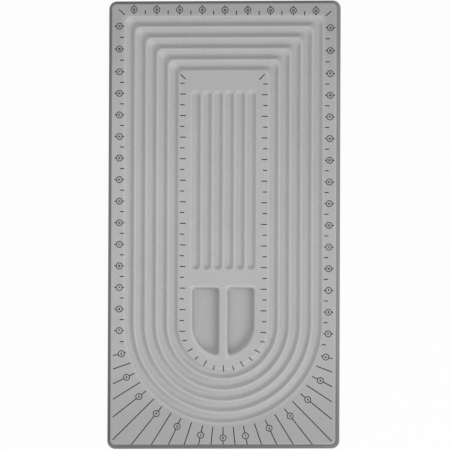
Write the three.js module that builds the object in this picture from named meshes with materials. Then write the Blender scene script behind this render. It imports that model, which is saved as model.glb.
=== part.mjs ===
// Flocked bead board: one thin plastic sheet, formed into channels and bays, with flock glued over its top.
// Millimetres. X runs across the board, Y along it towards the square end, Z up. It stands on Z = 0.
import * as THREE from 'three';
import { mergeVertices } from 'three/addons/utils/BufferGeometryUtils.js';

const degrees = THREE.MathUtils.degToRad;

// Layers, from the underside up
const SHEET = 0.8; // plastic sheet
const GLUE_LINE = 0.3; // glue that holds the flock
const FLOCK = 0.6; // standing fibres
const BEND_RADIUS = 0.3; // tightest bend of the sheet, on its underside below a crest

// Channels that hold the strands
const CHANNEL_PITCH = 12.7; // crest to crest
const CHANNEL_DEPTH = 4.1; // crest to floor
const CHANNEL_SLOPE = degrees(45); // straight flanks, from level
const LOOP_COUNT = 5; // channels that run all round the board
const LOOP_CORNER = 7; // corner radius at the square end, the same on every loop
const LANE_COUNT = 6; // straight channels in the middle
const LANE_LENGTH = 207.5; // over the rounded ends

// Bays that hold loose beads
const BAY_SIDE = 44.4; // from the half round's centre to the square end
const BAY_LOW = 2.3; // the quarter round's centre, below the half round's
const BAY_CORNER = 3;
const BAY_DIVIDER = 4.3; // flat top between the two bays
const BAY_SHOULDER = 2.4; // crest radius, softer than elsewhere
const BAY_DRAFT = degrees(8);
const BAY_FOOT = 1.6; // finished radius where the wall meets the floor
const BAY_SCOOP = 6; // how much more the wall leans at the round end

// Flat borders between the formed features
const LANE_BORDER = 12.7; // beside the lanes and bays
const TITLE_BORDER = 21.5; // above the lanes
const BAY_BORDER = 16.1; // between the lanes and the bays
const SCALE_BORDER = 13; // outside the outer loop, on both sides
const SQUARE_BORDER = 12.5; // outside the outer loop, at the square end
const ROUND_BORDER = 22.5; // below the outer loop's half round

// Rim that turns down to the table
const RIM_DROP = 10; // deck to flange, and deck to bay floor
const RIM_DRAFT = degrees(5);
const RIM_FOOT = 0.6; // finished radius where the skirt meets the flange
const FLANGE = 2.2; // flat lip left where the sheet is trimmed
const DECK_CORNER = 3.5;

// Steps in each kind of bend and round
const BEND_STEPS = 2;
const CORNER_STEPS = 3;
const LANE_END_STEPS = 5;
const BAY_ROUND_STEPS = 7;
const LOOP_ROUND_STEPS = 13;

const QUARTER = Math.PI / 2;
const SAME_POINT = 1e-6;

// Sizes that follow from the ones above
const coat = GLUE_LINE + FLOCK;
const crestRadius = SHEET + BEND_RADIUS;
const deckHeight = SHEET + RIM_DROP;
const laneHalf = (LANE_COUNT * CHANNEL_PITCH) / 2;
const innerHalf = laneHalf + LANE_BORDER;
const outerHalf = innerHalf + LOOP_COUNT * CHANNEL_PITCH;
const deckHalf = outerHalf + SCALE_BORDER;

// Places along Y, counted from the centre of the half round
const laneLow = BAY_SIDE + BAY_BORDER;
const laneHigh = laneLow + LANE_LENGTH;
const innerTop = laneHigh + TITLE_BORDER;
const deckTop = innerTop + LOOP_COUNT * CHANNEL_PITCH + SQUARE_BORDER;
const deckBottom = -outerHalf - ROUND_BORDER;
const deckMiddle = (deckTop + deckBottom) / 2;

// A wall is a crest arc, a straight stretch and a foot arc, drawn on the sheet's upper face.
const rimWall = {
  drop: RIM_DROP,
  draft: RIM_DRAFT,
  crest: crestRadius,
  foot: RIM_FOOT + coat,
};
const bayWall = {
  drop: RIM_DROP,
  draft: BAY_DRAFT,
  crest: BAY_SHOULDER,
  foot: BAY_FOOT + coat,
};

// A channel's walls share one floor arc, whose radius brings each wall half a pitch from crest to floor.
function channelWall() {
  const rise = CHANNEL_DEPTH * Math.cos(CHANNEL_SLOPE);
  const run = (CHANNEL_PITCH / 2) * Math.sin(CHANNEL_SLOPE);
  const radii = (run - rise) / (1 - Math.cos(CHANNEL_SLOPE));
  return {
    drop: CHANNEL_DEPTH,
    draft: QUARTER - CHANNEL_SLOPE,
    crest: crestRadius,
    foot: radii - crestRadius,
  };
}

// How far out from its crest a wall reaches its floor.
function wallRun({ drop, draft, crest, foot }) {
  const radii = crest + foot;
  return (radii - Math.sin(draft) * (radii - drop)) / Math.cos(draft);
}

// Points of a round about a centre, with both ends.
function round(x, y, radius, from, to, steps) {
  return Array.from({ length: steps + 1 }, (_, i) => {
    const angle = THREE.MathUtils.lerp(from, to, i / steps);
    return new THREE.Vector2(x + radius * Math.cos(angle), y + radius * Math.sin(angle));
  });
}

// A wall's points from crest to floor, as run and height. An offset face keeps the centres of both arcs.
function wallProfile(wall, offset) {
  const { drop, draft, crest, foot } = wall;
  const crestArc = round(0, -crest, crest + offset, QUARTER, draft, BEND_STEPS);
  const footArc = round(wallRun(wall), foot - drop, offset - foot, draft, QUARTER, BEND_STEPS);
  return [...crestArc, ...footArc];
}

// Every outline runs anticlockwise seen from above.
function rimOutline(out) {
  const radius = DECK_CORNER + out;
  const x = deckHalf - DECK_CORNER;
  const high = deckTop - DECK_CORNER;
  const low = deckBottom + DECK_CORNER;
  return [
    ...round(x, high, radius, 0, QUARTER, CORNER_STEPS),
    ...round(-x, high, radius, QUARTER, 2 * QUARTER, CORNER_STEPS),
    ...round(-x, low, radius, 2 * QUARTER, 3 * QUARTER, CORNER_STEPS),
    ...round(x, low, radius, 3 * QUARTER, 4 * QUARTER, CORNER_STEPS),
  ];
}

function loopOutline(crestIndex, out) {
  const grow = crestIndex * CHANNEL_PITCH + out;
  const x = innerHalf + grow - LOOP_CORNER;
  const y = innerTop + grow - LOOP_CORNER;
  return [
    ...round(x, y, LOOP_CORNER, 0, QUARTER, CORNER_STEPS),
    ...round(-x, y, LOOP_CORNER, QUARTER, 2 * QUARTER, CORNER_STEPS),
    ...round(0, 0, innerHalf + grow, 2 * QUARTER, 4 * QUARTER, LOOP_ROUND_STEPS),
  ];
}

function laneEnds(lane, inset) {
  const radius = CHANNEL_PITCH / 2 - inset;
  const x = (lane + 0.5) * CHANNEL_PITCH - laneHalf;
  const high = laneHigh - CHANNEL_PITCH / 2;
  const low = laneLow + CHANNEL_PITCH / 2;
  return {
    top: round(x, high, radius, 0, 2 * QUARTER, LANE_END_STEPS),
    bottom: round(x, low, radius, 2 * QUARTER, 4 * QUARTER, LANE_END_STEPS),
  };
}

function laneOutline(lane, inset) {
  const { top, bottom } = laneEnds(lane, inset);
  return [...top, ...bottom];
}

// Scalloped edge round all the lanes, which share their crests.
function laneGroupOutline() {
  const lanes = Array.from({ length: LANE_COUNT }, (_, lane) => laneEnds(lane, 0));
  const tops = lanes.toReversed().flatMap(({ top }, i) => top.slice(i ? 1 : 0));
  const bottoms = lanes.flatMap(({ bottom }, i) => bottom.slice(i ? 1 : 0));
  return [...tops, ...bottoms];
}

// A bay has two square corners, a corner at the foot of the divider and a quarter round outside.
// The quarter round starts lower and draws back as it goes down, so that its wall is a scoop.
function bayOutline(inset) {
  const scoop = BAY_SCOOP * (inset / wallRun(bayWall) - 0.5) - BAY_LOW;
  const reach = laneHalf - inset;
  const inner = BAY_DIVIDER / 2 + inset + BAY_CORNER;
  const top = BAY_SIDE - inset - BAY_CORNER;
  const footDrop = Math.sqrt((reach - BAY_CORNER) ** 2 - inner ** 2);
  const footAngle = -Math.atan2(footDrop, inner);
  return [
    ...round(reach - BAY_CORNER, top, BAY_CORNER, 0, QUARTER, CORNER_STEPS),
    ...round(inner, top, BAY_CORNER, QUARTER, 2 * QUARTER, CORNER_STEPS),
    ...round(inner, scoop - footDrop, BAY_CORNER, 2 * QUARTER, 4 * QUARTER + footAngle, CORNER_STEPS),
    ...round(0, scoop, reach, footAngle, 0, BAY_ROUND_STEPS).slice(1),
  ];
}

function mirrored(outline) {
  return outline.map(({ x, y }) => new THREE.Vector2(-x, y)).reverse();
}

function raised(outline, height) {
  return outline.map(({ x, y }) => new THREE.Vector3(x, y, deckHeight + height));
}

// Triangles between rows of points, given from the outside in, facing up.
function loft(rows) {
  const triangles = [];
  for (let r = 1; r < rows.length; r++) {
    const outer = rows[r - 1];
    const inner = rows[r];
    outer.forEach((corner, i) => {
      const next = (i + 1) % outer.length;
      triangles.push([corner, outer[next], inner[next]], [corner, inner[next], inner[i]]);
    });
  }
  return triangles;
}

// Triangles of a flat area with holes, facing up.
function flat(outline, holes = []) {
  const points = [outline, ...holes].flat();
  return THREE.ShapeUtils.triangulateShape(outline, holes).map((corners) => {
    const triangle = corners.map((i) => points[i]);
    return THREE.ShapeUtils.isClockWise(triangle) ? triangle.reverse() : triangle;
  });
}

// Rows of the rim, from the trimmed edge in to the deck.
function rimRows(offset) {
  const wall = wallProfile(rimWall, offset).reverse();
  const edge = raised(rimOutline(wallRun(rimWall) + FLANGE), wall[0].y);
  return [edge, ...wall.map(({ x, y }) => raised(rimOutline(x), y))];
}

// Rows of the loops, from the outermost crest in: down one wall and up the next.
function loopRows(offset) {
  const wall = wallProfile(channelWall(), offset);
  const rows = [raised(loopOutline(LOOP_COUNT, 0), offset)];
  for (let crest = LOOP_COUNT; crest > 0; crest--) {
    const down = wall.slice(1).map(({ x, y }) => raised(loopOutline(crest, -x), y));
    const up = wall.slice(0, -1).map(({ x, y }) => raised(loopOutline(crest - 1, x), y));
    rows.push(...down, ...up.reverse());
  }
  return rows;
}

function laneRows(lane, offset) {
  return wallProfile(channelWall(), offset).map(({ x, y }) => raised(laneOutline(lane, x), y));
}

function bayRows(offset, turn) {
  return wallProfile(bayWall, offset).map(({ x, y }) => raised(turn(bayOutline(x)), y));
}

// One whole face of the board, a given distance above the sheet's upper face.
function formedFace(offset) {
  const rim = rimRows(offset);
  const loops = loopRows(offset);
  const bays = [bayRows(offset, (outline) => outline), bayRows(offset, mirrored)];
  const lanes = Array.from({ length: LANE_COUNT }, (_, lane) => laneRows(lane, offset));
  const islands = [raised(laneGroupOutline(), offset), ...bays.map((rows) => rows[0])];
  return [
    ...loft(rim),
    ...flat(rim.at(-1), [loops[0]]),
    ...loft(loops),
    ...flat(loops.at(-1), islands),
    ...lanes.flatMap(loft),
    ...bays.flatMap((rows) => [...loft(rows), ...flat(rows.at(-1))]),
  ];
}

// A layer of the board: its upper face, its lower face turned over, and the trimmed edge between them.
function layer(name, lower, upper, material) {
  const triangles = [
    ...formedFace(upper),
    ...formedFace(lower).map((triangle) => triangle.toReversed()),
    ...loft([rimRows(lower)[0], rimRows(upper)[0]]),
  ];
  const whole = triangles.filter((triangle) =>
    triangle.every((corner, i) => corner.distanceTo(triangle[(i + 1) % 3]) > SAME_POINT)
  );
  const surface = new THREE.BufferGeometry().setFromPoints(whole.flat());
  const geometry = mergeVertices(surface);
  geometry.computeVertexNormals();
  const mesh = new THREE.Mesh(geometry, material);
  mesh.name = name;
  mesh.position.y = -deckMiddle;
  return mesh;
}

const plastic = new THREE.MeshStandardMaterial({ color: 0x6f7072, roughness: 0.55, metalness: 0 });
const flock = new THREE.MeshStandardMaterial({ color: 0xa9a8a8, roughness: 1, metalness: 0 });

const board = new THREE.Group();
board.add(layer('formed_tray', -SHEET, 0, plastic));
board.add(layer('flock_coat', GLUE_LINE, coat, flock));

export default board;
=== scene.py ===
# %% [markdown]
# # A flocked bead board
#
# A bead board is one thin plastic sheet, drawn down into channels and bays, with short fibres glued all
# over its top and a scale printed on them. The script loads the solid model as a fixed frame, forms a finer
# tray and a finer flock coat over it by one rule, and prints the scale on the flock.

# %% Load the frame
import math

import bmesh
import bpy
import numpy as np
from mathutils import Matrix, Vector
from mathutils.geometry import tessellate_polygon


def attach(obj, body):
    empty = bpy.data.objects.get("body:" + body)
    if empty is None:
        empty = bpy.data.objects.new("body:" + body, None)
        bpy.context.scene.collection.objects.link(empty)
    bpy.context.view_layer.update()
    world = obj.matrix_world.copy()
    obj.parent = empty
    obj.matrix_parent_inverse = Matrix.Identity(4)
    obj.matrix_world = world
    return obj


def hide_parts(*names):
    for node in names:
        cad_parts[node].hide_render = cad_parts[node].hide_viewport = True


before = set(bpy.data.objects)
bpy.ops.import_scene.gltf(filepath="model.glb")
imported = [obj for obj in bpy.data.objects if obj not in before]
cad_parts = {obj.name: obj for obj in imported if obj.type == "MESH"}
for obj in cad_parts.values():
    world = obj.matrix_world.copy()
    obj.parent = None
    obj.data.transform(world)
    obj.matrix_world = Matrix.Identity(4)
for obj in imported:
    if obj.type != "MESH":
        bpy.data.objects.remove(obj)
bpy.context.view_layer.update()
MM = 0.001

# %% [markdown]
# ## Sums that become nodes
#
# Node trees grow long when each node is made and linked by hand. A small class holds one output of one node
# and answers to Python's own signs, so `1 - wear` adds a Math node and returns its output. Every other node
# comes from `Wire.node`, which sets the node up first and then fills or links its sockets.


# %% A wire between nodes
class Wire:
    """One output of a node. Sums of wires and numbers add Math nodes to the tree."""

    def __init__(self, tree, socket):
        self.tree, self.socket = tree, socket

    @classmethod
    def node(cls, tree, kind, settings=None, sockets=None):
        made = tree.nodes.new(kind)
        for name, value in (settings or {}).items():
            setattr(made, name, value)
        for key, value in (sockets or {}).items():
            named = key if isinstance(key, int) else [
                i for i, s in enumerate(made.inputs) if s.name == key and s.enabled][0]
            for one in value if isinstance(value, list) else [value]:
                if isinstance(one, Wire):
                    tree.links.new(one.socket, made.inputs[named])
                else:
                    made.inputs[named].default_value = one
        return cls(tree, next((s for s in made.outputs if s.enabled), None))

    def out(self, name):
        return Wire(self.tree, self.socket.node.outputs[name])

    def math(self, operation, *values):
        return Wire.node(self.tree, "ShaderNodeMath", {"operation": operation}, dict(enumerate(values)))

    def __add__(self, other):
        return self.math("ADD", self, other)

    def __radd__(self, other):
        return self.math("ADD", other, self)

    def __sub__(self, other):
        return self.math("SUBTRACT", self, other)

    def __rsub__(self, other):
        return self.math("SUBTRACT", other, self)

    def __mul__(self, other):
        return self.math("MULTIPLY", self, other)

    def __rmul__(self, other):
        return self.math("MULTIPLY", other, self)

    def __truediv__(self, other):
        return self.math("DIVIDE", self, other)

    def __rtruediv__(self, other):
        return self.math("DIVIDE", other, self)

    def clamped(self):
        return Wire.node(self.tree, "ShaderNodeClamp", {}, {"Value": self})


print("Wire adds", [name for name in vars(Wire) if name.startswith("__")][2:])

# %% [markdown]
# ## Camera
#
# The board lies flat and is seen from almost straight above, a little from the right and from the round end,
# through a long lens from far away, so that its sides stay parallel. The camera's three axes are worked out
# rather than tracked, because tracking turns the picture when the view is close to straight down. The board
# lay a trace askew, so the camera is rolled by as much.

# %% Set the camera
IMAGE_PIXELS, MM_PER_PIXEL = 450, 1.1427
CAMERA_DISTANCE = 14.0
SENSOR_WIDTH = 36
LEAN_RIGHT, LEAN_DOWN, ROLL = math.radians(4.8), math.radians(4.8), math.radians(0.22)
AIM = Vector((0.97, -0.52, 0.0)) * MM


def placed(name, data):
    """A new object in the scene."""
    made = bpy.data.objects.new(name, data)
    bpy.context.scene.collection.objects.link(made)
    return made


camera_data = bpy.data.cameras.new("camera")
camera_data.sensor_width = SENSOR_WIDTH
camera_data.lens = SENSOR_WIDTH * CAMERA_DISTANCE / (IMAGE_PIXELS * MM_PER_PIXEL * MM)
camera = placed("camera", camera_data)
back = Vector((math.tan(LEAN_RIGHT), -math.tan(LEAN_DOWN), 1)).normalized()
right = Vector((0, 1, 0)).cross(back).normalized()
axes = Matrix((right, back.cross(right), back)).transposed().to_4x4()
camera.matrix_world = (
    Matrix.Translation(AIM + back * CAMERA_DISTANCE) @ axes @ Matrix.Rotation(ROLL, 4, "Z"))
bpy.context.scene.camera = camera
print("lens", round(camera_data.lens), "mm")

# %% [markdown]
# ## Stage and light
#
# The board is photographed on white. The floor and the world turn white only for the rays that the camera,
# a gloss or a clear surface sends out, so the white adds no light to the board, and the floor still takes a
# share of the shadow. Light itself comes from the world, evenly, and from wide soft lamps low at the right
# and the round end, which is what draws the channels. A weak lamp close above the middle lets the ends
# fall off.

# %% Floor and world
AMBIENT = 0.61
FLOOR_RADIUS, FLOOR_SIDES, FLOOR_DROP = 8.0, 96, 0.1 * MM
WHITE = (1, 1, 1, 1)
PAPER = (0.8, 0.8, 0.8, 1)
WHITE_SHARE = 0.93


def seen_rays(tree):
    """1 for the rays that show the background, 0 for those that light the board."""
    path = Wire.node(tree, "ShaderNodeLightPath")
    rays = path.out("Is Camera Ray") + path.out("Is Glossy Ray") + path.out("Is Transmission Ray")
    return rays.clamped()


def finish(name):
    """A new material and its empty tree."""
    material = bpy.data.materials.new(name)
    material.use_nodes = True
    material.node_tree.nodes.clear()
    return material, material.node_tree


world = bpy.data.worlds.new("studio")
world.use_nodes = True
world.node_tree.nodes.clear()
glow = seen_rays(world.node_tree) * (1 - AMBIENT) + AMBIENT
sky = Wire.node(world.node_tree, "ShaderNodeBackground", {}, {"Color": WHITE, "Strength": glow})
Wire.node(world.node_tree, "ShaderNodeOutputWorld", {}, {"Surface": sky})
bpy.context.scene.world = world

paper, tree = finish("floor_paper")
matte = Wire.node(tree, "ShaderNodeBsdfDiffuse", {}, {"Color": PAPER})
white = Wire.node(tree, "ShaderNodeEmission", {}, {"Color": WHITE, "Strength": 1.0})
mixed = Wire.node(tree, "ShaderNodeMixShader", {}, {
    0: seen_rays(tree) * WHITE_SHARE, 1: matte, 2: white})
Wire.node(tree, "ShaderNodeOutputMaterial", {}, {"Surface": mixed})

sheet = bmesh.new()
bmesh.ops.create_circle(sheet, cap_ends=True, segments=FLOOR_SIDES, radius=FLOOR_RADIUS,
                        matrix=Matrix.Translation((0, 0, -FLOOR_DROP)))
floor_mesh = bpy.data.meshes.new("floor")
sheet.to_mesh(floor_mesh)
sheet.free()
floor_mesh.materials.append(paper)
floor = placed("floor", floor_mesh)
print("floor", len(floor_mesh.polygons), "face, ambient", AMBIENT)

# %% Lamps
LAMPS = {  # name: bearing from the square end and height in degrees, distance and width in metres, watts
    "key": (150, 34, 2.2, 1.0, 16.8),
    "window": (110, 34, 2.2, 1.0, 8.2),
    "overhead": (270, 76, 0.41, 0.25, 0.37),
}
for name, (bearing, height, distance, width, watts) in LAMPS.items():
    lamp = bpy.data.lights.new(name, "AREA")
    lamp.shape, lamp.size, lamp.energy = "DISK", width, watts
    stand = placed(name, lamp)
    turn, lift = math.radians(bearing), math.radians(height)
    ray = Vector((math.sin(turn) * math.cos(lift), math.cos(turn) * math.cos(lift), math.sin(lift)))
    stand.matrix_world = Matrix.Translation(ray * distance) @ ray.to_track_quat("Z", "Y").to_matrix().to_4x4()
print("lamps", list(LAMPS))

# %% [markdown]
# ## Sizes
#
# The sizes are those of the solid model, in millimetres times `MM`. Places along the board are counted from
# the centre of its half round and moved to the middle of the board at the end.

# %% Sizes of the formed sheet
SHEET = 0.8 * MM
COAT = 0.9 * MM
GLUE = 0.05 * MM
BEND_RADIUS = 0.3 * MM
CHANNEL_PITCH, CHANNEL_DEPTH, CHANNEL_SLOPE = 12.7 * MM, 4.1 * MM, math.radians(45)
LOOP_COUNT, LOOP_CORNER = 5, 7 * MM
LANE_COUNT, LANE_LENGTH = 6, 207.5 * MM
BAY_SIDE, BAY_LOW, BAY_CORNER, BAY_DIVIDER = 44.4 * MM, 2.3 * MM, 3 * MM, 4.3 * MM
BAY_SHOULDER, BAY_DRAFT, BAY_FOOT, BAY_SCOOP = 2.4 * MM, math.radians(8), 1.6 * MM, 6 * MM
LANE_BORDER, TITLE_BORDER, BAY_BORDER = 12.7 * MM, 21.5 * MM, 16.1 * MM
SCALE_BORDER, SQUARE_BORDER, ROUND_BORDER = 13 * MM, 12.5 * MM, 22.5 * MM
RIM_DROP, RIM_DRAFT, RIM_FOOT = 10 * MM, math.radians(5), 0.6 * MM
FLANGE, DECK_CORNER = 2.2 * MM, 3.5 * MM

crest_radius = SHEET + BEND_RADIUS
deck_height = SHEET + RIM_DROP
lane_half = LANE_COUNT * CHANNEL_PITCH / 2
inner_half = lane_half + LANE_BORDER
outer_half = inner_half + LOOP_COUNT * CHANNEL_PITCH
deck_half = outer_half + SCALE_BORDER
lane_low = BAY_SIDE + BAY_BORDER
lane_high = lane_low + LANE_LENGTH
inner_top = lane_high + TITLE_BORDER
deck_top = inner_top + LOOP_COUNT * CHANNEL_PITCH + SQUARE_BORDER
deck_bottom = -outer_half - ROUND_BORDER
deck_middle = (deck_top + deck_bottom) / 2
print("deck", round(2 * deck_half / MM, 1), "x", round((deck_top - deck_bottom) / MM, 1), "mm")

# %% [markdown]
# ## One rule for every wall
#
# Each wall of a drawn sheet is a rounded crest, a straight stretch and a rounded foot. A face a little above
# the sheet keeps the centres of both rounds and only changes their radii, so one rule gives the underside
# and the upper side of the tray and of the flock coat. The walls could be swept one by one, but here a flat
# plan carries the rule's terms on its points (which round a point is on, how far that round has turned back
# to level, and which way the wall runs) and a Geometry Nodes tree draws the plan down. The tree is used
# with three sets of sizes: for the rim, the channels and the bays.


# %% A tree with named inputs
def new_tree(name, inputs):
    """A tree, the identifiers of its inputs, and a wire from each of them."""
    tree = bpy.data.node_groups.new(name, "GeometryNodeTree")
    tree.interface.new_socket("Geometry", in_out="OUTPUT", socket_type="NodeSocketGeometry")
    labels = {"Geometry": "Geometry", **inputs}
    sockets = {label: tree.interface.new_socket(label, in_out="INPUT", socket_type="NodeSocket" + kind)
               for label, kind in labels.items()}
    keys = {label: socket.identifier for label, socket in sockets.items()}
    entry = tree.nodes.new("NodeGroupInput")
    return tree, keys, {label: Wire(tree, entry.outputs[label]) for label in labels}


def end_tree(tree, geometry, material):
    whole = Wire.node(tree, "GeometryNodeRealizeInstances", {}, {"Geometry": geometry})
    painted = Wire.node(tree, "GeometryNodeSetMaterial", {}, {"Geometry": whole, "Material": material})
    Wire.node(tree, "NodeGroupOutput", {}, {"Geometry": painted})


def grown(tree, keys, mesh, values):
    """The plain mesh that a tree makes from a mesh, with its inputs set by identifier."""
    maker = placed("maker", mesh)
    modifier = maker.modifiers.new("grow", "NODES")
    modifier.node_group = tree
    for label, value in values.items():
        modifier[keys[label]] = value
    made = bpy.data.meshes.new_from_object(maker.evaluated_get(bpy.context.evaluated_depsgraph_get()))
    bpy.data.objects.remove(maker)
    return made


def named(tree, name, kind="FLOAT"):
    return Wire.node(tree, "GeometryNodeInputNamedAttribute", {"data_type": kind}, {"Name": name})


def stored(tree, geometry, name, value, kind="FLOAT"):
    return Wire.node(tree, "GeometryNodeStoreNamedAttribute", {"data_type": kind, "domain": "POINT"}, {
        "Geometry": geometry, "Name": name, "Value": value})


def vector(tree, operation, sockets):
    return Wire.node(tree, "ShaderNodeVectorMath", {"operation": operation}, sockets)


# %% The tree that draws the plan down
SCOOP_HIGHLIGHT = 2

draw_tree, draw_keys, given = new_tree("draw_down", {
    "Deck Height": "Float", "Lower Face": "Float", "Upper Face": "Float",
    "Drop": "Float", "Draft": "Float", "Crest Radius": "Float", "Foot Radius": "Float", "Run": "Float",
    "Wall Thinning And Shade": "Float", "Floor Thinning And Shade": "Float", "Splay": "Float", "Material": "Material"})
on_foot = named(draw_tree, "on_foot")
level = named(draw_tree, "level")
beyond = named(draw_tree, "beyond")
trim = named(draw_tree, "trim")
reach = named(draw_tree, "reach", "FLOAT_VECTOR")
facing = named(draw_tree, "facing", "FLOAT_VECTOR")
angle = given["Draft"] + (math.pi / 2 - given["Draft"]) * level
across, upright = angle.math("COSINE", angle), angle.math("SINE", angle)


def drawn_face(geometry, face):
    """The plan drawn down to a face, a given height above the sheet's upper side."""
    radius = face + given["Crest Radius"] - on_foot * (given["Crest Radius"] + given["Foot Radius"])
    run = on_foot * given["Run"] + radius * across + beyond
    centre = on_foot * (given["Foot Radius"] + given["Crest Radius"] - given["Drop"]) - given["Crest Radius"]
    height = given["Deck Height"] + centre + radius * upright
    out = vector(draw_tree, "SCALE", {"Vector": reach, "Scale": run})
    up = Wire.node(draw_tree, "ShaderNodeCombineXYZ", {}, {"Z": height})
    moved = vector(draw_tree, "ADD", {0: out, 1: up})
    return Wire.node(draw_tree, "GeometryNodeSetPosition", {}, {"Geometry": geometry, "Offset": moved})


stretch = vector(draw_tree, "DOT_PRODUCT", {0: reach, 1: facing}).out("Value")
side = vector(draw_tree, "SCALE", {"Vector": facing, "Scale": across})
rise = Wire.node(draw_tree, "ShaderNodeCombineXYZ", {}, {"Z": upright * stretch})
leaning = vector(draw_tree, "ADD", {0: side, 1: rise})
normal = vector(draw_tree, "NORMALIZE", {0: leaning})
under = vector(draw_tree, "SCALE", {"Vector": normal, "Scale": -1.0})
lean = stretch.math("MAXIMUM", stretch, 1.0)
fallen = (1 - level) / lean
# Thinner flock where the sheet was drawn, and painted shade: the squared fall darkens each wall's foot most.
drawn = fallen * fallen * given["Wall Thinning And Shade"] + on_foot * level * given["Floor Thinning And Shade"]
# Painted highlight: lighter flock along the crests and on walls that lean out, as the bay scoops do.
scoop_highlight = SCOOP_HIGHLIGHT * (1 - level) * (1 - 1 / lean)
midway = 4 * level * (1 - level)
splayed = given["Splay"] * midway * (1 - on_foot) + scoop_highlight

bare = stored(draw_tree, given["Geometry"], "drawn", drawn)
bare = stored(draw_tree, bare, "splayed", splayed)
top = stored(draw_tree, bare, "lie", normal, "FLOAT_VECTOR")
top = drawn_face(top, given["Upper Face"] + trim * (given["Lower Face"] - given["Upper Face"]))
low = Wire.node(draw_tree, "GeometryNodeDeleteGeometry", {"domain": "POINT"}, {
    "Geometry": bare, "Selection": trim})
low = stored(draw_tree, low, "lie", under, "FLOAT_VECTOR")
low = Wire.node(draw_tree, "GeometryNodeFlipFaces", {}, {"Mesh": drawn_face(low, given["Lower Face"])})
both = Wire.node(draw_tree, "GeometryNodeJoinGeometry", {}, {"Geometry": [top, low]})
end_tree(draw_tree, both, given["Material"])
print("draw_down has", len(draw_tree.nodes), "nodes")

# %% [markdown]
# ## The plan
#
# Seen from above, every crest is an outline of rounds and straight sides, and every wall runs from its crest
# towards a floor outline. An outline is a function of how far it is moved out, so the way a wall runs is the
# floor outline less the crest outline, shared by the run.

# %% Steps and walls
CREST_STEPS, FOOT_STEPS = 6, 6
CORNER_STEPS, LANE_END_STEPS, BAY_ROUND_STEPS, LOOP_ROUND_STEPS = 10, 24, 28, 72
QUARTER = math.pi / 2

channel_fall = math.sin(CHANNEL_SLOPE) * CHANNEL_PITCH / 2 - math.cos(CHANNEL_SLOPE) * CHANNEL_DEPTH
channel_radii = channel_fall / (1 - math.cos(CHANNEL_SLOPE))
# The wall and floor amounts give thinner flock and painted shade at once; the last amount paints a highlight
# on the crests.
WALLS = {
    "rim": dict(drop=RIM_DROP, draft=RIM_DRAFT, crest=crest_radius, foot=RIM_FOOT + COAT,
                wall_thinning_and_shade=1.4, floor_thinning_and_shade=0.35, splay=1.6),
    "channel": dict(drop=CHANNEL_DEPTH, draft=QUARTER - CHANNEL_SLOPE, crest=crest_radius,
                    foot=channel_radii - crest_radius, wall_thinning_and_shade=0.0, floor_thinning_and_shade=0.0, splay=1.0),
    "bay": dict(drop=RIM_DROP, draft=BAY_DRAFT, crest=BAY_SHOULDER, foot=BAY_FOOT + COAT,
                wall_thinning_and_shade=0.27, floor_thinning_and_shade=0.02, splay=1.0),
}
for wall in WALLS.values():
    radii = wall["crest"] + wall["foot"]
    wall["run"] = (radii - math.sin(wall["draft"]) * (radii - wall["drop"])) / math.cos(wall["draft"])
print({name: round(wall["run"] / MM, 2) for name, wall in WALLS.items()}, "mm of run")


# %% Outlines, anticlockwise from above, as points and the way each one faces
def rounds(*arcs):
    points, ways = [], []
    for x, y, radius, start, end, steps in arcs:
        turn = np.linspace(start, end, steps + 1)
        way = np.stack([np.cos(turn), np.sin(turn)], 1)
        points.append(np.array([x, y]) + radius * way)
        ways.append(way)
    return np.concatenate(points), np.concatenate(ways)


def rim_outline(out):
    x, high, low = deck_half - DECK_CORNER, deck_top - DECK_CORNER, deck_bottom + DECK_CORNER
    corners = ((x, high), (-x, high), (-x, low), (x, low))
    return rounds(*((cx, cy, DECK_CORNER + out, i * QUARTER, (i + 1) * QUARTER, CORNER_STEPS)
                    for i, (cx, cy) in enumerate(corners)))


def loop_outline(crest, out):
    grow = crest * CHANNEL_PITCH + out
    x, y = inner_half + grow - LOOP_CORNER, inner_top + grow - LOOP_CORNER
    return rounds((x, y, LOOP_CORNER, 0, QUARTER, CORNER_STEPS),
                  (-x, y, LOOP_CORNER, QUARTER, 2 * QUARTER, CORNER_STEPS),
                  (0, 0, inner_half + grow, 2 * QUARTER, 4 * QUARTER, LOOP_ROUND_STEPS))


def lane_ends(lane, inset):
    x, radius = (lane + 0.5) * CHANNEL_PITCH - lane_half, CHANNEL_PITCH / 2 - inset
    return ((x, lane_high - CHANNEL_PITCH / 2, radius, 0, 2 * QUARTER, LANE_END_STEPS),
            (x, lane_low + CHANNEL_PITCH / 2, radius, 2 * QUARTER, 4 * QUARTER, LANE_END_STEPS))


def bay_outline(inset):
    far, near = lane_half - inset, BAY_DIVIDER / 2 + inset + BAY_CORNER
    top, scoop = BAY_SIDE - inset - BAY_CORNER, BAY_SCOOP * (inset / WALLS["bay"]["run"] - 0.5) - BAY_LOW
    foot_drop = math.sqrt((far - BAY_CORNER) ** 2 - near ** 2)
    foot_turn = -math.atan2(foot_drop, near)
    return rounds((far - BAY_CORNER, top, BAY_CORNER, 0, QUARTER, CORNER_STEPS),
                  (near, top, BAY_CORNER, QUARTER, 2 * QUARTER, CORNER_STEPS),
                  (near, scoop - foot_drop, BAY_CORNER, 2 * QUARTER, 4 * QUARTER + foot_turn, CORNER_STEPS),
                  (0, scoop, far, foot_turn, 0, BAY_ROUND_STEPS))


def mirrored(outline):
    points, ways = outline
    return (points * [-1, 1])[::-1], (ways * [-1, 1])[::-1]


print("outline points", {"rim": len(rim_outline(0)[0]), "loop": len(loop_outline(0, 0)[0]),
                         "bay": len(bay_outline(0)[0])})


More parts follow.
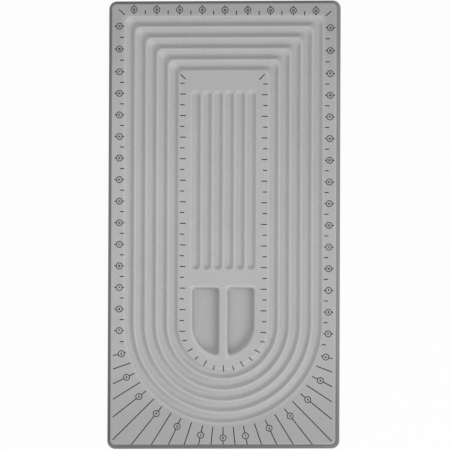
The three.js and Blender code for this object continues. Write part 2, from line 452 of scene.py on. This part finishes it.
# %% A plan that gathers rows and flats
class Plan:
    """A flat mesh whose points carry the terms of the wall rule."""

    TERMS = {"on_foot": "FLOAT", "level": "FLOAT", "beyond": "FLOAT", "trim": "FLOAT",
             "reach": "FLOAT_VECTOR", "facing": "FLOAT_VECTOR"}

    def __init__(self):
        self.points, self.faces = [], []
        self.terms = {term: [] for term in self.TERMS}

    def row(self, crest, reach=None, facing=None, on_foot=0.0, level=1.0, beyond=0.0, trim=0.0):
        start, count = len(self.points), len(crest)
        self.points += [(x, y - deck_middle, 0.0) for x, y in crest]
        for term, value in (("on_foot", on_foot), ("level", level), ("beyond", beyond), ("trim", trim)):
            self.terms[term] += [value] * count
        for term, ways in (("reach", reach), ("facing", facing)):
            ways = np.zeros((count, 2)) if ways is None else ways
            self.terms[term] += [(x, y, 0.0) for x, y in ways]
        return list(range(start, start + count))

    def wall(self, kind, outline, towards, extra=0.0):
        """Rows from a crest to its floor. The outline is a function of how far it moves along `towards`."""
        wall, rows = WALLS[kind], []
        crest, facing = outline(0)
        reach = (outline(towards * wall["run"])[0] - crest) / wall["run"]
        steps = [(0.0, level) for level in np.linspace(1, 0, CREST_STEPS + 1)]
        steps += [(1.0, level) for level in np.linspace(0, 1, FOOT_STEPS + 1)]
        for on_foot, level in steps:
            rows.append(self.row(crest, reach, towards * facing, on_foot, level))
        if extra:
            rows.append(self.row(crest, reach, towards * facing, 1.0, 1.0, extra))
            rows.append(self.row(crest, reach, towards * facing, 1.0, 1.0, extra, 1.0))
        return rows

    def loft(self, rows):
        """Faces between rows, given from the outside in."""
        for outer, inner in zip(rows, rows[1:]):
            for i, corner in enumerate(outer):
                n = (i + 1) % len(outer)
                self.faces.append((corner, outer[n], inner[n], inner[i]))

    def flat(self, *outlines):
        """Faces of a level area, with the outer outline first and its holes after it."""
        index = [i for row in outlines for i in row]
        loops = [[Vector(self.points[i]) for i in row] for row in outlines]
        for triangle in tessellate_polygon(loops):
            a, b, c = (Vector(self.points[index[i]]) for i in triangle)
            corners = [index[i] for i in triangle]
            self.faces.append(corners if (b - a).cross(c - a).z > 0 else corners[::-1])

    def mesh(self, name):
        mesh = bpy.data.meshes.new(name)
        mesh.from_pydata(self.points, [], self.faces)
        for term, kind in self.TERMS.items():
            field = "vector" if kind == "FLOAT_VECTOR" else "value"
            values = np.array(self.terms[term], np.float32).ravel()
            mesh.attributes.new(term, kind, "POINT").data.foreach_set(field, values)
        return mesh


# %% Draw the rim, the channels and the bays in plan
rim_plan, channel_plan, bay_plan = Plan(), Plan(), Plan()

rim_rows = rim_plan.wall("rim", rim_outline, 1, FLANGE)
rim_plan.loft(rim_rows[::-1])
rim_plan.flat(rim_rows[0], rim_plan.row(loop_outline(LOOP_COUNT, 0)[0]))

for crest in range(LOOP_COUNT, 0, -1):
    down = channel_plan.wall("channel", lambda out: loop_outline(crest, out), -1)
    up = channel_plan.wall("channel", lambda out: loop_outline(crest - 1, out), 1)
    channel_plan.loft(down + up[::-1][1:])
for lane in range(LANE_COUNT):
    channel_plan.loft(channel_plan.wall("channel", lambda out: (
        rounds(*lane_ends(lane, -out))[0], rounds(*lane_ends(lane, 0))[1]), -1))

lanes = [lane_ends(lane, 0) for lane in range(LANE_COUNT)]
tops = [rounds(top)[0][bool(i):] for i, (top, _) in enumerate(lanes[::-1])]
feet = [rounds(foot)[0][bool(i):] for i, (_, foot) in enumerate(lanes)]
islands = [channel_plan.row(np.concatenate(tops + feet))]
for turned in (lambda outline: outline, mirrored):
    rows = bay_plan.wall("bay", lambda out: turned(bay_outline(-out)), -1)
    bay_plan.loft(rows)
    bay_plan.flat(rows[-1])
    islands.append(channel_plan.row(turned(bay_outline(0))[0]))
channel_plan.flat(channel_plan.row(loop_outline(0, 0)[0]), *islands)

PLANS = {"rim": rim_plan.mesh("rim_plan"), "channel": channel_plan.mesh("channel_plan"),
         "bay": bay_plan.mesh("bay_plan")}
print({kind: (len(mesh.vertices), len(mesh.polygons)) for kind, mesh in PLANS.items()}, "points and faces")

# %% A layer of the board
MERGE = 0.002 * MM
SAME_WAY = 0.5


def layer(name, lower, upper, material):
    """One closed layer between two faces of the drawn sheet."""
    joined = bmesh.new()
    for kind, wall in WALLS.items():
        made = grown(draw_tree, draw_keys, PLANS[kind], {
            "Deck Height": deck_height, "Lower Face": lower, "Upper Face": upper,
            "Drop": wall["drop"], "Draft": wall["draft"], "Crest Radius": wall["crest"],
            "Foot Radius": wall["foot"], "Run": wall["run"],
            "Wall Thinning And Shade": wall["wall_thinning_and_shade"], "Floor Thinning And Shade": wall["floor_thinning_and_shade"], "Splay": wall["splay"],
            "Material": material})
        joined.from_mesh(made)
        bpy.data.meshes.remove(made)
    bmesh.ops.remove_doubles(joined, verts=joined.verts, dist=MERGE)
    mesh = bpy.data.meshes.new(name)
    joined.to_mesh(mesh)
    open_edges = sum(not edge.is_manifold for edge in joined.edges)
    joined.free()
    mesh.materials.append(material)
    smooth(mesh)
    for term in [a.name for a in mesh.attributes if a.name in Plan.TERMS or a.name == "lie"]:
        mesh.attributes.remove(mesh.attributes[term])
    print(name, len(mesh.polygons), "faces,", open_edges, "open edges")
    return placed(name, mesh)


def smooth(mesh):
    """Shades the faces by the rule's own normals, so that level areas stay level up to their crests."""
    mesh.polygons.foreach_set("use_smooth", [True] * len(mesh.polygons))
    lie = np.zeros(3 * len(mesh.vertices), np.float32)
    mesh.attributes["lie"].data.foreach_get("vector", lie)
    corners = np.zeros(len(mesh.loops), np.int32)
    mesh.loops.foreach_get("vertex_index", corners)
    normals = lie.reshape(-1, 3)[corners]
    for face in mesh.polygons:
        loops = slice(face.loop_start, face.loop_start + face.loop_total)
        if (normals[loops] @ np.array(face.normal)).min() < SAME_WAY:
            normals[loops] = face.normal
    mesh.normals_split_custom_set(normals)


# %% [markdown]
# ## Tray
#
# The tray is grey sheet plastic, satin rather than glossy, as formed sheet is. It shows at the trimmed edge
# and underneath, where it was drawn thinner and a shade lighter.

# %% Tray plastic
TRAY_GREY = (0.165, 0.165, 0.17, 1)
TRAY_THIN = (0.21, 0.21, 0.215, 1)
CLOUD, GRAIN = (40, 3), (2600, 2)  # scale per metre and detail
DRAWN_SHADE, CLOUD_SHADE = 0.6, 0.5
TRAY_ROUGH, CLOUD_ROUGH, GRAIN_ROUGH = 0.38, 0.14, 0.08
TRAY_BUMP = 0.15, 0.05 * MM  # strength and depth


def end_finish(tree, settings):
    surface = Wire.node(tree, "ShaderNodeBsdfPrincipled", {}, settings)
    Wire.node(tree, "ShaderNodeOutputMaterial", {}, {"Surface": surface})


def places(tree):
    return Wire.node(tree, "ShaderNodeTexCoord").out("Object")


def carried(tree, name):
    """A value that the points of a mesh carry."""
    return Wire.node(tree, "ShaderNodeAttribute", {"attribute_name": name}).out("Fac")


def noise(tree, place, scale, detail, roughness=0.5):
    return Wire.node(tree, "ShaderNodeTexNoise", {}, {
        "Vector": place, "Scale": scale, "Detail": detail, "Roughness": roughness})


def mix(tree, share, first, second):
    return Wire.node(tree, "ShaderNodeMix", {"data_type": "RGBA"}, {
        "Factor": share, "A": first, "B": second}).out(2)


def bump(tree, strength, distance, height):
    return Wire.node(tree, "ShaderNodeBump", {}, {
        "Strength": strength, "Distance": distance, "Height": height})


tray_plastic, tree = finish("tray_plastic")
place = places(tree)
cloud, grain = noise(tree, place, *CLOUD), noise(tree, place, *GRAIN)
thinner = carried(tree, "drawn") * DRAWN_SHADE + cloud * CLOUD_SHADE
end_finish(tree, {
    "Base Color": mix(tree, thinner.clamped(), TRAY_GREY, TRAY_THIN),
    "Roughness": TRAY_ROUGH + cloud * CLOUD_ROUGH + grain * GRAIN_ROUGH,
    "Normal": bump(tree, *TRAY_BUMP, grain),
})
tray = layer("tray", -SHEET, 0.0, tray_plastic)

# %% [markdown]
# ## Flock
#
# Flock is a dense pile of fibres about half a millimetre long. Single fibres are far too small to model on a
# board of this size, so the coat is a closed skin and its finish carries the pile: a grain of fibre tips in
# colour and bump, a slow cloud where the nap lies differently, and a velvet sheen at low angles. Down the
# skirt the sheet was stretched after it was flocked, so there the pile is thinner and the plastic shows. The
# same dark colour is also painted shade: deepest at the foot of each wall, on the bay walls, and stronger at
# the left and the round end than at the other two sides. The border outside the loops is painted darker as
# shade where the light falls off, a little at the sides and most of all at the ends. The crests and the bay
# scoops carry a painted highlight in a lighter flock colour.

# %% Flock finish
FLOCK_LIGHT = (0.47, 0.465, 0.465, 1)
FLOCK_DARK = (0.36, 0.357, 0.358, 1)
# Dark colour for thin flock over the plastic, also laid on as painted shade.
FLOCK_THIN_AND_SHADE = (0.06, 0.06, 0.062, 1)
# Lighter colour for the painted highlight on crests and bay scoops.
FLOCK_HIGHLIGHT = (0.58, 0.575, 0.575, 1)
NAP, PATCH, MOTTLE = (14, 2), (160, 3), (600, 2)  # scale per metre, detail and roughness
TIPS, PILE = (1500, 2, 0.7), (3800, 2, 0.6)
NAP_SHADE, PATCH_SHADE, MOTTLE_SHADE, TIP_SHADE, SHADE_LEVEL = 0.35, 0.3, 0.9, 0.6, 0.575
HIGHLIGHT_LEAST, HIGHLIGHT_TIPS, THIN_SHADE_LEAST, THIN_SHADE_TIPS = 0.15, 0.27, 0.7, 0.6
FLOCK_ROUGH, PILE_ROUGH = 0.92, 0.08
PILE_SHARE, TIP_SHARE = 0.6, 0.4
FLOCK_BUMP = 0.35, 0.15 * MM

# Painted shade on the border outside the loops, at the sides and at the ends, and how much the painted side
# shade eases at the right and the top.
END_SHADE_SIDES, END_SHADE_ENDS, TOP_RIGHT_EASE = 0.03, 0.13, 0.56
END_SHADE_EDGE, END_SHADE_SPAN = (-1 * MM, 4 * MM), (140 * MM, 235 * MM)


def eased(wire, start, end):
    """0 before the start, 1 after the end, and smooth between them."""
    return Wire.node(wire.tree, "ShaderNodeMapRange", {"interpolation_type": "SMOOTHSTEP"}, {
        "Value": wire, "From Min": start, "From Max": end})


def held(place):
    """Painted shade at a place: only outside the outer loop, and more towards the board's ends."""
    spot = Wire.node(place.tree, "ShaderNodeSeparateXYZ", {}, {"Vector": place})
    x, y = spot.out("X"), spot.out("Y")
    below = y.math("MINIMUM", y + deck_middle, 0.0)
    beside = y.math("SQRT", x * x + below * below) - outer_half
    above = y - (deck_top - SQUARE_BORDER - deck_middle)
    border = eased(y.math("MAXIMUM", beside, above), *END_SHADE_EDGE)
    return border * (END_SHADE_SIDES + END_SHADE_ENDS * eased(y.math("ABSOLUTE", y), *END_SHADE_SPAN))


def stretched(place):
    """The share of thinning and painted shade at a place: 1 at the left and the round end, less at the other
    two.
    """
    spot = Wire.node(place.tree, "ShaderNodeSeparateXYZ", {}, {"Vector": place})
    toward_top_right = spot.out("X") / deck_half + spot.out("Y") / (deck_top - deck_middle)
    return 1 - TOP_RIGHT_EASE * eased(toward_top_right, -1.0, 1.0)


flock_finish, tree = finish("flock")
place = places(tree)
nap, patch, mottle, tips, pile = (noise(tree, place, *kind) for kind in (NAP, PATCH, MOTTLE, TIPS, PILE))
shade = nap * NAP_SHADE + patch * PATCH_SHADE + mottle * MOTTLE_SHADE + tips * TIP_SHADE - SHADE_LEVEL
full = mix(tree, shade.clamped(), FLOCK_DARK, FLOCK_LIGHT)
# Painted highlight on the crests and the bay scoops.
full = mix(tree, carried(tree, "splayed") * (HIGHLIGHT_LEAST + tips * HIGHLIGHT_TIPS), full, FLOCK_HIGHLIGHT)
# Painted shade: the thin-flock colour also darkens wall feet, the bays, the left and round end, and the
# border.
thin_and_shade = (carried(tree, "drawn") * stretched(place) + held(place)) * (THIN_SHADE_LEAST + tips * THIN_SHADE_TIPS)
end_finish(tree, {
    "Base Color": mix(tree, thin_and_shade.clamped(), full, FLOCK_THIN_AND_SHADE),
    "Roughness": FLOCK_ROUGH + pile * PILE_ROUGH,
    "Specular IOR Level": 0.15,
    "Sheen Weight": 0.25,
    "Sheen Roughness": 0.5,
    "Normal": bump(tree, *FLOCK_BUMP, pile * PILE_SHARE + tips * TIP_SHARE),
})
flock = layer("flock", GLUE, COAT, flock_finish)

# %% [markdown]
# ## Printed scale
#
# The scale was printed on the flat flocked sheet before it was drawn down, a little askew, so a few strokes
# run over a crest. It counts up both ways from the middle of the round end. Each number stands in a ring
# with a pin on either side, half steps are plain strokes, and the inner deck has a finer row of ticks. The
# strokes are drawn as edges and the rings as points; a tree gives them their width and lets them down on
# the flock, so that the ink lies on the surface wherever it is.

# %% Where the print lies
PRINT_CENTRE = np.array([1.01, -125.72]) * MM
PULL_SPAN, PULL_MIDDLE = 100 * MM, 120 * MM
PULL = np.array([[0.20, 0.09, 0.34, -0.05, -0.03], [-1.60, 0.11, 0.18, -0.15, 0.04]]) * MM
RING_DIAMETER, STROKE, FILM = 6.9 * MM, 1.0 * MM, 0.1 * MM
PIN = 2.1 * MM
ARC_TURNS = np.radians([0, 12.5, 26.3, 39.7, 52.8, 65.1, 78.1])
ARC_RADII = np.array([119.3, 119.3, 119.6, 120.6, 121.9, 122.8, 120.0]) * MM
SIDE_NUMBERS, LATE_STEPS = 15, 2
SIDE_X, SIDE_START = 119.9 * MM, 1.7 * MM
SIDE_STEP, LATE_STEP, TOP_STEP = 24.76 * MM, 26.2 * MM, 25.84 * MM
TOP_Y, TOP_REACH = 370.4 * MM, 4
LINE_REACH, CENTRE_REACH, CENTRE_TURN = 10.6 * MM, 1.8 * MM, ARC_TURNS[2]
SIDE_GAP, LINE_LIMIT, STRAIGHT = 1.3 * MM, 200 * MM, 1e-6
PRINT_END = deck_bottom - deck_middle - 2.0 * MM
HUB = np.array([-1.0, 3.2]) * MM
TICK_START, TICK_END, TICK_RISE = 114.4 * MM, 119.3 * MM, 0.3 * MM


def printed(x, y):
    """A point of the print, measured from its own centre, where the drawn sheet carries it."""
    u, v = x / PULL_SPAN, (y - PULL_MIDDLE) / PULL_SPAN
    return PRINT_CENTRE + np.array([x, y]) + PULL @ [u, v, u * v, u * u, v * v]


rings, strokes = [], []


def stroke(x0, y0, x1, y1):
    """A stroke of the print, cut where it would run further down the skirt than the print does."""
    start, end = printed(x0, y0), printed(x1, y1)
    past = (PRINT_END - start[1]) / (end[1] - start[1]) if end[1] < PRINT_END else 1.0
    strokes.append((start, start + (end - start) * past))


# %% Numbers and half steps along the round end
def to_edge(aim):
    """How far a line from the hub runs: short of the deck's sides, but past its round end."""
    return min((deck_half - SIDE_GAP) / max(abs(aim[0]), STRAIGHT), LINE_LIMIT)


half_ring = RING_DIAMETER / 2
half_turns = ARC_TURNS + np.diff(ARC_TURNS, append=2 * ARC_TURNS[-1] - ARC_TURNS[-2]) / 2
for side in (-1, 1):
    for k, radius in enumerate(ARC_RADII):
        for half in (0, 1):
            turn = half_turns[k] if half else ARC_TURNS[k]
            way = np.array([side * math.sin(turn), -math.cos(turn)])
            span = math.hypot(*(way * radius - HUB))
            aim = (way * radius - HUB) / span
            is_last = k + 1 == len(ARC_RADII)
            reach = LINE_REACH + CENTRE_REACH * max(0.0, 1 - turn / CENTRE_TURN)
            start = span - half_ring - PIN if is_last else span - reach
            ends = [(start, span - half_ring), (span + half_ring, to_edge(aim))]
            if half:
                ends = [(TICK_START, TICK_END) if is_last else (start, to_edge(aim))]
            elif k == 0 and side < 0:
                continue
            else:
                rings.append((k, *(way * radius)))
            for near, far in ends:
                stroke(*(HUB + aim * near), *(HUB + aim * far))
print(len(rings), "rings and", len(strokes), "strokes round the end")

# %% Numbers and half steps up both sides and across the square end
TOP_TICK_START, TOP_TICK_END = 364.9 * MM, 369.6 * MM
CORNER_TICKS = {-1: np.array([-113.6, 364.0, -120.4, 370.4]) * MM,
                1: np.array([114.0, 364.4, 120.6, 370.0]) * MM}

side_steps = [SIDE_STEP] * (SIDE_NUMBERS - 1 - LATE_STEPS) + [LATE_STEP] * LATE_STEPS
heights = SIDE_START + np.concatenate([[0], np.cumsum(side_steps)])
for side in (-1, 1):
    for k, y in enumerate(heights):
        rings.append((len(ARC_RADII) + k, side * SIDE_X, y))
        for way in (-1, 1):
            start = side * SIDE_X + way * half_ring
            stroke(start, y, start + way * PIN, y)
    for y in (heights[1:] + heights[:-1]) / 2:
        stroke(side * TICK_START, y + TICK_RISE, side * TICK_END, y + TICK_RISE)
    stroke(*CORNER_TICKS[side])

last = len(ARC_RADII) + SIDE_NUMBERS + TOP_REACH
for i in range(-TOP_REACH, TOP_REACH + 1):
    rings.append((last - abs(i), i * TOP_STEP, TOP_Y))
    for way in (-1, 1):
        start = TOP_Y + way * half_ring
        stroke(i * TOP_STEP, start, i * TOP_STEP, start + way * PIN)
for i in range(-TOP_REACH, TOP_REACH):
    stroke((i + 0.5) * TOP_STEP, TOP_TICK_START, (i + 0.5) * TOP_STEP, TOP_TICK_END)
print("numbers run to", max(k for k, _, _ in rings))

# %% Ticks round the inner deck
INNER_X, INNER_START, INNER_STEP, INNER_COUNT = 49.9 * MM, 1.95 * MM, 12.355 * MM, 24
INNER_SHIFT = -0.9 * MM
INNER_TURN, INNER_ROUND = math.radians(15.8), 6
INNER_FOOT, INNER_BULGE, BULGE_POWER = 43.2 * MM, 5.3 * MM, 4
SHORT_TICK, LONG_TICK = 5.1 * MM, 6.8 * MM
INNER_CORNERS = {-1: np.array([-44.5, 290.6, -50.5, 296.6]) * MM,
                 1: np.array([39.5, 290.8, 45.3, 297.4]) * MM}

for side in (-1, 1):
    for i in range(INNER_COUNT):
        y = INNER_START + i * INNER_STEP
        reach = SHORT_TICK if i % 2 else LONG_TICK
        stroke(INNER_SHIFT + side * INNER_X, y, INNER_SHIFT + side * (INNER_X - reach), y)
    for i in range(side < 0, INNER_ROUND):
        way = np.array([side * math.sin(i * INNER_TURN), -math.cos(i * INNER_TURN)])
        end = INNER_FOOT + INNER_BULGE * way[0] ** BULGE_POWER
        reach = SHORT_TICK if i % 2 else LONG_TICK
        stroke(*(way * end), *(way * (end - reach)))
    stroke(*INNER_CORNERS[side])
print(len(strokes), "strokes in all")

# %% The tree that inks the strokes
RING_SIDES, RING_WEIGHT = 48, 0.88
STROKE_STEP = 0.4 * MM
DROP_FROM = 30 * MM

ink_tree, ink_keys, given = new_tree("ink_on_flock", {
    "Stroke": "Float", "Film": "Float", "Ring Diameter": "Float",
    "Surface": "Object", "Material": "Material"})
nib = Wire.node(ink_tree, "GeometryNodeCurvePrimitiveQuadrilateral", {}, {
    "Width": given["Stroke"], "Height": given["Film"]})
loop = Wire.node(ink_tree, "GeometryNodeCurvePrimitiveCircle", {}, {
    "Resolution": RING_SIDES, "Radius": given["Ring Diameter"] / 2})
lines = Wire.node(ink_tree, "GeometryNodeMeshToCurve", {}, {"Mesh": given["Geometry"]})
lines = Wire.node(ink_tree, "GeometryNodeResampleCurve", {"mode": "LENGTH"}, {
    "Curve": lines, "Length": STROKE_STEP})
spots = Wire.node(ink_tree, "GeometryNodeMeshToPoints", {}, {
    "Mesh": given["Geometry"], "Selection": named(ink_tree, "ring")})
circles = Wire.node(ink_tree, "GeometryNodeInstanceOnPoints", {}, {"Points": spots, "Instance": loop})
circles = Wire.node(ink_tree, "GeometryNodeRealizeInstances", {}, {"Geometry": circles})
circles = Wire.node(ink_tree, "GeometryNodeSetCurveRadius", {}, {"Curve": circles, "Radius": RING_WEIGHT})
drawn_lines = Wire.node(ink_tree, "GeometryNodeJoinGeometry", {}, {"Geometry": [lines, circles]})
flat_on = Wire.node(ink_tree, "GeometryNodeSetCurveNormal", {"mode": "Z_UP"}, {"Curve": drawn_lines})
inked = Wire.node(ink_tree, "GeometryNodeCurveToMesh", {}, {
    "Curve": flat_on, "Profile Curve": nib, "Scale": Wire.node(ink_tree, "GeometryNodeInputRadius"),
    "Fill Caps": True})
ground = Wire.node(ink_tree, "GeometryNodeObjectInfo", {}, {"Object": given["Surface"]}).out("Geometry")
spot = Wire.node(ink_tree, "GeometryNodeInputPosition")
lift = vector(ink_tree, "ADD", {0: spot, 1: (0, 0, DROP_FROM)})
hit = Wire.node(ink_tree, "GeometryNodeRaycast", {}, {
    "Target Geometry": ground, "Source Position": lift, "Ray Direction": (0, 0, -1)}).out("Hit Distance")
lie = Wire.node(ink_tree, "ShaderNodeCombineXYZ", {}, {"Z": DROP_FROM + given["Film"] / 2 - hit})
lie = vector(ink_tree, "ADD", {0: spot, 1: lie})
laid = Wire.node(ink_tree, "GeometryNodeSetPosition", {}, {"Geometry": inked, "Position": lie})
crisp = Wire.node(ink_tree, "GeometryNodeSetShadeSmooth", {}, {"Geometry": laid, "Shade Smooth": False})
end_tree(ink_tree, crisp, given["Material"])
print("ink_on_flock has", len(ink_tree.nodes), "nodes")

# %% Ink
INK = (0.01, 0.01, 0.011, 1)
INK_WORN = (0.04, 0.04, 0.041, 1)
WEAR = (60, 2)
TIP_WEAR, SLOW_WEAR, WEAR_LEVEL = 0.7, 0.6, 0.3
INK_ROUGH, TIP_ROUGH = 0.8, 0.15
INK_BUMP = 0.3, 0.1 * MM

ink, tree = finish("ink")
place = places(tree)
tips, wear = noise(tree, place, *TIPS), noise(tree, place, *WEAR)
worn = tips * TIP_WEAR + wear * SLOW_WEAR - WEAR_LEVEL
end_finish(tree, {
    "Base Color": mix(tree, worn.clamped(), INK, INK_WORN),
    "Roughness": INK_ROUGH + tips * TIP_ROUGH,
    "Specular IOR Level": 0.2,
    "Normal": bump(tree, *INK_BUMP, tips),
})

# %% Lay the strokes and rings on the flock
points = [end for pair in strokes for end in pair] + [printed(x, y) for _, x, y in rings]
drawing = bpy.data.meshes.new("scale_drawing")
drawing.from_pydata([(x, y, 0) for x, y in points], [(2 * i, 2 * i + 1) for i in range(len(strokes))], [])
is_ring = [0.0] * (2 * len(strokes)) + [1.0] * len(rings)
drawing.attributes.new("ring", "FLOAT", "POINT").data.foreach_set("value", is_ring)
scale_marks = placed("scale_marks", grown(ink_tree, ink_keys, drawing, {
    "Stroke": STROKE, "Film": FILM, "Ring Diameter": RING_DIAMETER, "Surface": flock, "Material": ink}))
corners = np.array([v.co for v in scale_marks.data.vertices]) / MM
print("scale_marks", len(scale_marks.data.polygons), "faces, mm",
      corners.min(0).round(2), corners.max(0).round(2))

# %% [markdown]
# ## Numbers
#
# The numbers stand upright in their rings whichever side they are on. Each is made as text, turned into a
# mesh, set on its ring's centre and joined to the rest, so that one piece holds them all.

# %% Set the numbers in their rings
DIGIT_HEIGHT, DIGIT_BOLD, DIGIT_STEPS = 2.9 * MM, 0.06, 3
PAIR_WIDTH = 0.82
DIGIT_MERGE = 0.001 * MM

numbers = bmesh.new()
deck_face = deck_height + COAT
for k, x, y in rings:
    text = bpy.data.curves.new("number", "FONT")
    text.body, text.size, text.offset, text.extrude = str(k), 1.0, DIGIT_BOLD, 0.5
    text.resolution_u = DIGIT_STEPS
    word = bpy.data.objects.new("number", text)
    shape = bpy.data.meshes.new_from_object(word)
    low, high = (np.array([f(v.co[i] for v in shape.vertices) for i in range(3)]) for f in (min, max))
    scale = DIGIT_HEIGHT / (high - low)[1]
    wide = scale * (PAIR_WIDTH if k > 9 else 1.0)
    middle, spot = (low + high) / 2, printed(x, y)
    shape.transform(Matrix.Translation((*spot, deck_face + FILM / 2)) @ Matrix.Diagonal(
        (wide, scale, FILM, 1)) @ Matrix.Translation(-Vector(middle)))
    numbers.from_mesh(shape)
    bpy.data.meshes.remove(shape)
    bpy.data.objects.remove(word)
    bpy.data.curves.remove(text)
bmesh.ops.remove_doubles(numbers, verts=numbers.verts, dist=DIGIT_MERGE)
number_mesh = bpy.data.meshes.new("scale_numbers")
numbers.to_mesh(number_mesh)
numbers.free()
number_mesh.materials.append(ink)
scale_numbers = placed("scale_numbers", number_mesh)
print("scale_numbers", len(number_mesh.polygons), "faces")

# %% [markdown]
# ## The pieces on the body
#
# Every piece rides on the board's one body. The tray and the flock stand for their solids, and the print is
# only ink on the flock.

# %% Tie the pieces to the frame
for piece, node, slot in ((tray, "formed_tray", "tray_plastic"), (flock, "flock_coat", "flock")):
    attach(piece, "root")
    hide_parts(node)
for piece in (scale_marks, scale_numbers):
    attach(piece, "root")

bpy.context.scene.view_settings.view_transform = "Standard"
